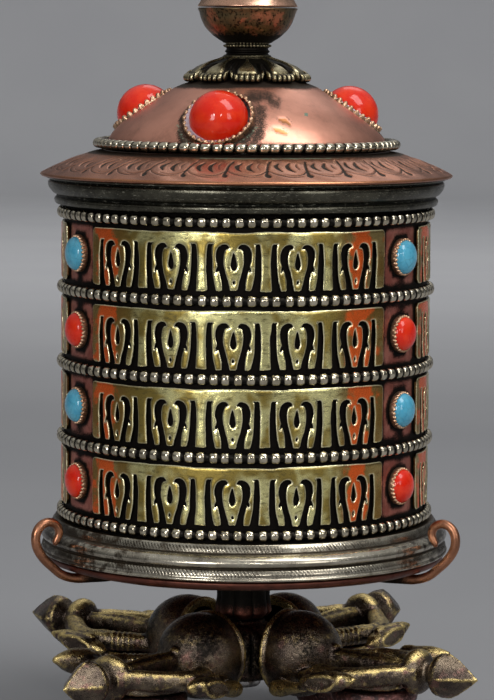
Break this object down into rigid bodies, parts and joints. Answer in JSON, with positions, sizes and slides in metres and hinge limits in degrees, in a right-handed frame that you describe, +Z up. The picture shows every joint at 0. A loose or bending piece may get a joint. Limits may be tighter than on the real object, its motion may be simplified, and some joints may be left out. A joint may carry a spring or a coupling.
{
  "type": "prayer wheel",
  "caption": "Table-top prayer wheel: a copper drum with pierced brass bands, beaded wires and cabochons spins on a fixed axle over a double-vajra stand; the domed lid lifts off.",
  "frame": {"origin": "on the axle line, at the height of the table the feet stand on", "axes": "+Z up along the axle, -Y towards the front of the drum, +X to the viewer's right"},
  "size_m": [0.1202, 0.1225, 0.215],
  "materials": {
    "copper": "hand-rubbed copper with a thin brown patina",
    "dark_copper": "dark patinated copper, worn on the edges",
    "brass": "brushed and tarnished brass",
    "aged_brass": "dark cast brass, rubbed bright on the high spots",
    "white_metal": "polished white metal with dark oxide in the hollows",
    "oxidised_metal": "blackened white metal, satin",
    "steel": "plain steel rod",
    "turquoise": "polished turquoise with fine dark matrix",
    "coral": "polished red coral",
    "wood": "plain turned wood",
    "paper": "tightly rolled paper"
  },
  "bodies": {
    "stand": {"foot_front_right": "dark_copper", "foot_front_left": "dark_copper", "foot_back_left": "dark_copper", "foot_back_right": "dark_copper", "vajra_arm_front_right": "aged_brass", "vajra_arm_front_left": "aged_brass", "vajra_arm_back_left": "aged_brass", "vajra_arm_back_right": "aged_brass", "vajra_hub": "aged_brass", "axle_rod": "steel"},
    "drum": {"drum_shell": "copper", "bottom_plate": "dark_copper", "lower_bush": "copper", "base_moulding": "white_metal", "top_moulding": "oxidised_metal", "beaded_wire_1": "white_metal", "beaded_wire_2": "white_metal", "beaded_wire_3": "white_metal", "beaded_wire_4": "white_metal", "beaded_wire_5": "white_metal", "ornament_band_front_1": "brass", "ornament_band_right_1": "brass", "ornament_band_left_1": "brass", "ornament_band_front_2": "brass", "ornament_band_right_2": "brass", "ornament_band_left_2": "brass", "ornament_band_front_3": "brass", "ornament_band_right_3": "brass", "ornament_band_left_3": "brass", "ornament_band_front_4": "brass", "ornament_band_right_4": "brass", "ornament_band_left_4": "brass", "drum_stone_right_1": "coral", "drum_stone_back_1": "coral", "drum_stone_left_1": "coral", "drum_stone_right_2": "turquoise", "drum_stone_back_2": "turquoise", "drum_stone_left_2": "turquoise", "drum_stone_right_3": "coral", "drum_stone_back_3": "coral", "drum_stone_left_3": "coral", "drum_stone_right_4": "turquoise", "drum_stone_back_4": "turquoise", "drum_stone_left_4": "turquoise", "spin_hook_left": "copper", "spin_hook_right": "copper", "spin_hook_back": "copper", "scroll_core": "wood", "prayer_scroll": "paper"},
    "lid": {"lid_brim": "copper", "lid_dome": "copper", "lid_beaded_wire": "white_metal", "lid_stone_front": "coral", "lid_stone_right": "coral", "lid_stone_back": "coral", "lid_stone_left": "coral", "finial_lotus": "aged_brass", "finial_lower_bowl": "dark_copper", "finial_cap": "copper", "top_bearing": "brass"}
  },
  "joints": [
    {"name": "drum_spin", "type": "hinge", "parent": "stand", "child": "drum", "pos_m": [0, 0, 0.048], "axis": [0, 0, 1], "continuous": true},
    {"name": "lid_lift", "type": "slide", "parent": "drum", "child": "lid", "axis": [0, 0, 1], "range_m": [0, 0.045]}
  ]
}
